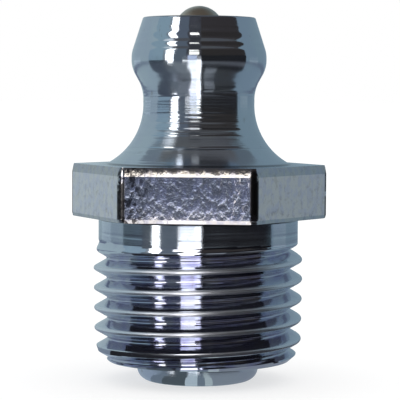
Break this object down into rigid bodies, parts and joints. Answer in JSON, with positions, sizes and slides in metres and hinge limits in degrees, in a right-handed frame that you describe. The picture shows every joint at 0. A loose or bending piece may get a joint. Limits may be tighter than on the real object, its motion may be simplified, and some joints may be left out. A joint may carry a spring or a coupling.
{
  "type": "grease nipple",
  "caption": "Straight hexagon grease nipple with a ridged coupling head, spring-loaded check ball and threaded shank.",
  "frame": {"origin": "on the nipple's axis, in the plane of the hexagon's underside, which seats on the machine", "axes": "+Z along the axis towards the coupling head and its ball, -Z along the threaded shank; X through two corners of the hexagon, Y through two of its flats"},
  "size_m": [0.0124, 0.0108, 0.0181],
  "materials": {
    "plated_steel": "turned and zinc plated, bright with a faint blue tint",
    "ball_steel": "polished hardened steel, darkened by an oil film",
    "spring_steel": "drawn spring wire"
  },
  "bodies": {
    "nipple": {"nipple_body": "plated_steel", "spring": "spring_steel"},
    "ball": {"check_ball": "ball_steel"}
  },
  "joints": [
    {"name": "ball_lift", "type": "slide", "parent": "nipple", "child": "ball", "axis": [0, 0, -1], "range_m": [0, 0.0012], "stiffness_N_per_m": 3200, "springref_m": -0.0006, "deforming": ["spring"]}
  ]
}
